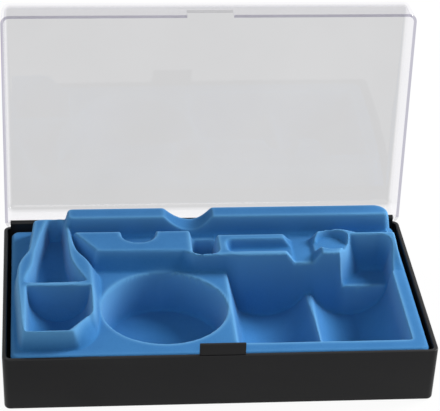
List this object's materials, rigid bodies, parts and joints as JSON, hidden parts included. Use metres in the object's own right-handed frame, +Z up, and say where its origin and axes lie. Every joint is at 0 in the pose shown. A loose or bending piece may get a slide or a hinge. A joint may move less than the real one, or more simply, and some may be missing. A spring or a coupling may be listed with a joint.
{
  "type": "tool case",
  "caption": "Shallow black case with a clear lid hinged at the back and a blue flocked insert shaped for a measuring tool.",
  "frame": {"origin": "centre of the underside of the base", "axes": "+X to the right seen from the front, +Y towards the hinge at the back, +Z up"},
  "size_m": [0.2, 0.1323, 0.145],
  "materials": {
    "base": "moulded satin black",
    "lid": "clear, polished",
    "insert": "short blue flock"
  },
  "bodies": {
    "base": {"base": "base", "insert": "insert"},
    "lid": {"lid": "lid"}
  },
  "joints": [
    {"name": "lid_hinge", "type": "hinge", "parent": "base", "child": "lid", "pos_m": [0, 0.05595, 0.0309], "axis": [1, 0, 0], "range_deg": [0, 91]}
  ]
}
